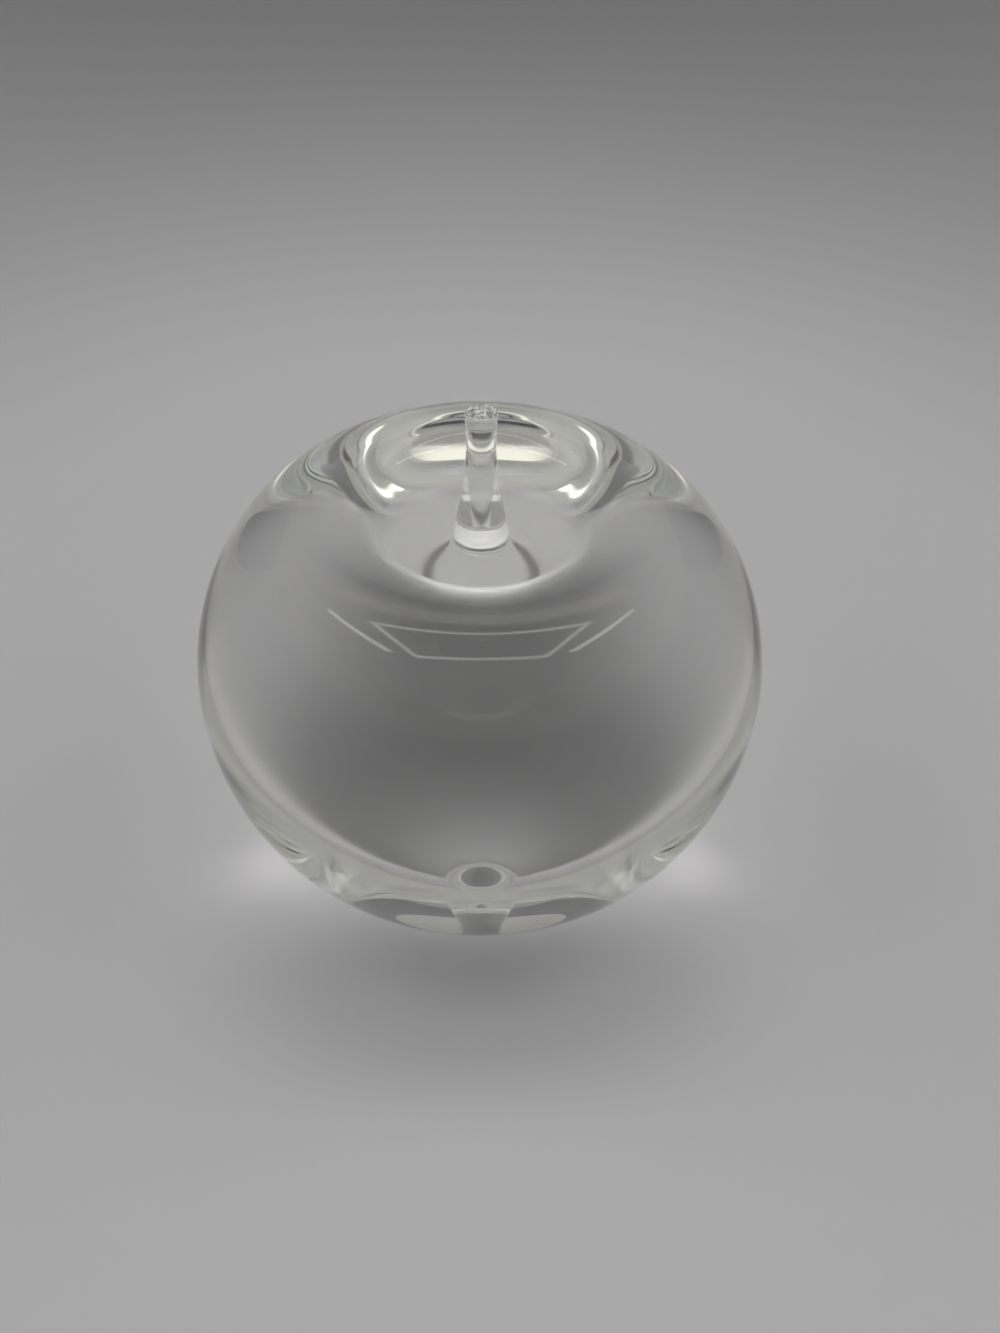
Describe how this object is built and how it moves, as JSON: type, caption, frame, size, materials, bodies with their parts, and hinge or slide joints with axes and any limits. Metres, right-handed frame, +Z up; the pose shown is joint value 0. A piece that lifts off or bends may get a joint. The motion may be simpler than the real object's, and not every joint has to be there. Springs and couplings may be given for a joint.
{
  "type": "art glass apple",
  "caption": "Solid clear glass apple with a deep dimple, a tapered glass stem bonded on a raised seat in it, and a flat polished base to stand on.",
  "frame": {"origin": "centre of the flat base, on the surface that the apple stands on", "axes": "+Z up the apple's axis of revolution, through the stem; +Y away from the picture's camera"},
  "size_m": [0.1, 0.1, 0.0949],
  "materials": {
    "clear_glass": "polished"
  },
  "bodies": {
    "root": {"apple_body": "clear_glass", "stem": "clear_glass"}
  },
  "joints": []
}
